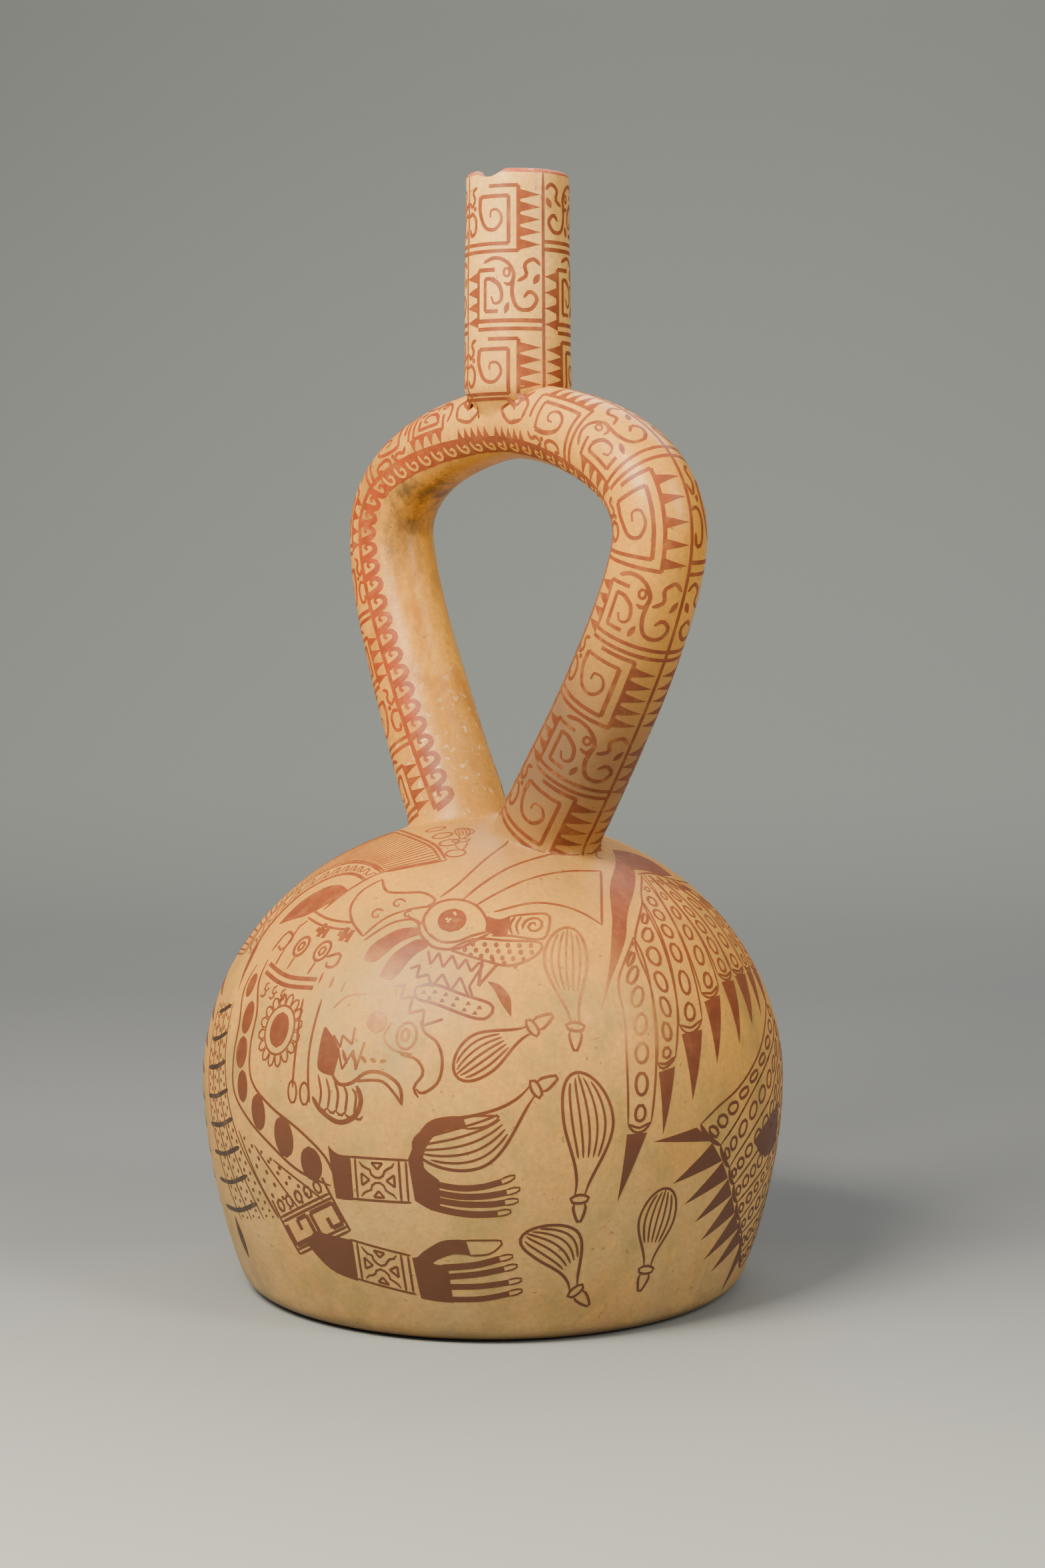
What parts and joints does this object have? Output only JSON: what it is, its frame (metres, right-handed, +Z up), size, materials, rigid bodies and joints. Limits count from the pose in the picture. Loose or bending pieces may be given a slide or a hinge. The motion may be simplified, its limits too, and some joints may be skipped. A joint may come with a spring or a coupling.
{
  "type": "stirrup spout vessel",
  "caption": "Hollow painted earthenware bottle with a domed round chamber, a tubular stirrup handle and an upright spout, standing on a flat base.",
  "frame": {"origin": "centre of the flat base, on the surface that the vessel stands on", "axes": "+Z up along the spout; the stirrup stands in the XZ plane, with its lower-set leg at +X; Y runs through the stirrup's loop"},
  "size_m": [0.1538, 0.1538, 0.29],
  "materials": {
    "painted_slip": "burnished cream slip with red-brown line painting over fired clay, softly glossy and worn"
  },
  "bodies": {
    "root": {"vessel": "painted_slip"}
  },
  "joints": []
}
